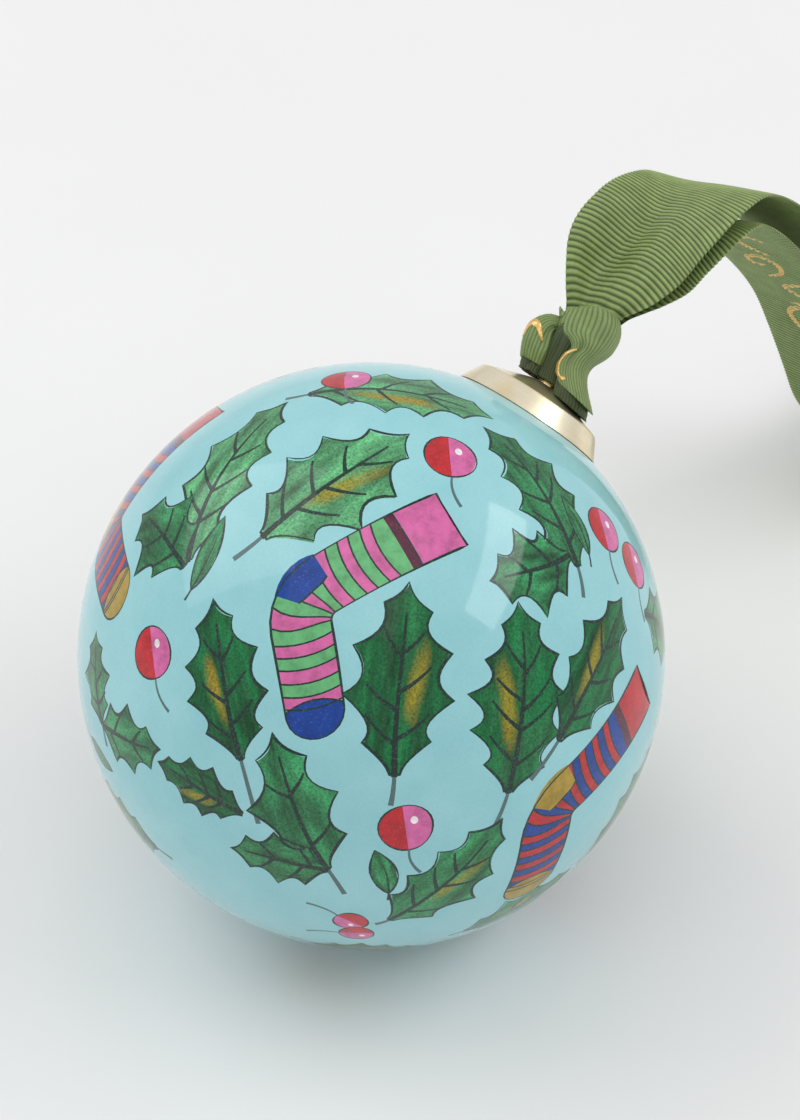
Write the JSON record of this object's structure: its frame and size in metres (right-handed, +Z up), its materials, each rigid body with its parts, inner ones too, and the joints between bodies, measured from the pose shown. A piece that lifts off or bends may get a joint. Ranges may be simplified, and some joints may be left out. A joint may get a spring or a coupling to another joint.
{
  "type": "glass bauble with ribbon",
  "caption": "Inside-painted glass ball ornament with a brass cap, a swivelling eye, a swinging ring and a knotted ribbon loop, lying propped on its ribbon.",
  "frame": {"origin": "the ball's lowest point, where it rests on the table", "axes": "+Z up; the cap's axis lies in the XZ plane, leaning from +Z towards +X, 37.5 degrees above the table; the ribbon falls towards +X"},
  "size_m": [0.2011, 0.08, 0.0854],
  "materials": {
    "painted_glass": "glossy, painted on the inside in pale aqua with holly, berries and striped socks",
    "gold_brass": "satin gold",
    "cement": "matt",
    "grosgrain": "ribbed weave with a gold printed ornament"
  },
  "bodies": {
    "ball": {"glass_ball": "painted_glass", "cap": "gold_brass", "cap_cement": "cement"},
    "eye": {"hanger_eye": "gold_brass", "eye_washer": "gold_brass"},
    "ring": {"hanger_ring": "gold_brass"},
    "ribbon": {"ribbon_knot": "grosgrain", "ribbon_loop": "grosgrain"}
  },
  "joints": [
    {"name": "eye_swivel", "type": "hinge", "parent": "ball", "child": "eye", "pos_m": [0.03475, 0, 0.06667], "axis": [0.7934, 0, 0.6088], "continuous": true},
    {"name": "ring_swing", "type": "hinge", "parent": "eye", "child": "ring", "pos_m": [0.0361, 0, 0.0677], "axis": [0.5163, 0.5299, -0.6728], "range_deg": [-10, 10]},
    {"name": "ribbon_swing", "type": "hinge", "parent": "ring", "child": "ribbon", "pos_m": [0.03862, 0.0004, 0.06995], "axis": [0.4299, -0.8398, -0.3316], "range_deg": [-12, 12]}
  ]
}
